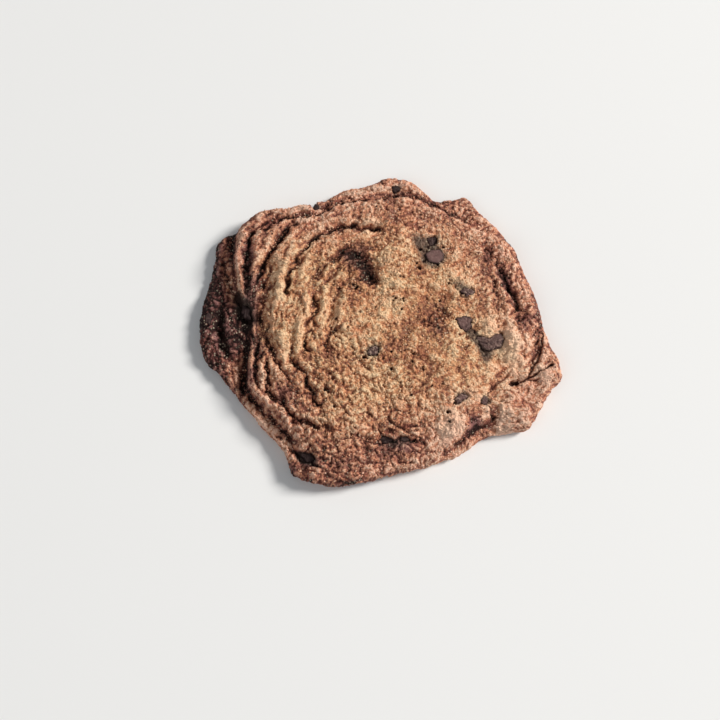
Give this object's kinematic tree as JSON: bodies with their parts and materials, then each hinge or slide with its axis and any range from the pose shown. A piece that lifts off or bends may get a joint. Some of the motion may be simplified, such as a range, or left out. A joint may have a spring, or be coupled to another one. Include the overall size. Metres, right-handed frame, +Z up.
{
  "type": "chocolate chip cookie",
  "caption": "Large, flat, hand-shaped chocolate chip cookie with a wrinkled golden crust, a darker crumbly skirt along one side and chocolate pieces set in its top.",
  "frame": {"origin": "on the flat underside, below the middle of the bounding box", "axes": "+X along the cookie's widest direction, +Y across it and +Z up through its thickness, as it lies on a plate"},
  "size_m": [0.117, 0.104, 0.0122],
  "materials": {
    "baked_dough": "baked, dry and grainy, browner at the rim and in the folds",
    "chocolate": "dark chocolate with a soft satin sheen"
  },
  "bodies": {
    "root": {"cookie": "baked_dough", "chocolate_flat": "chocolate", "chocolate_pit": "chocolate", "chocolate_crumbly": "chocolate", "chunk_west": "chocolate", "chunk_east": "chocolate", "chocolate_arc": "chocolate", "chocolate_seam": "chocolate", "chocolate_shade": "chocolate", "chocolate_rim_west": "chocolate", "chocolate_southwest": "chocolate", "chocolate_south": "chocolate", "chocolate_south_small": "chocolate", "chocolate_tip": "chocolate", "chocolate_notch": "chocolate", "chocolate_middle": "chocolate"}
  },
  "joints": []
}
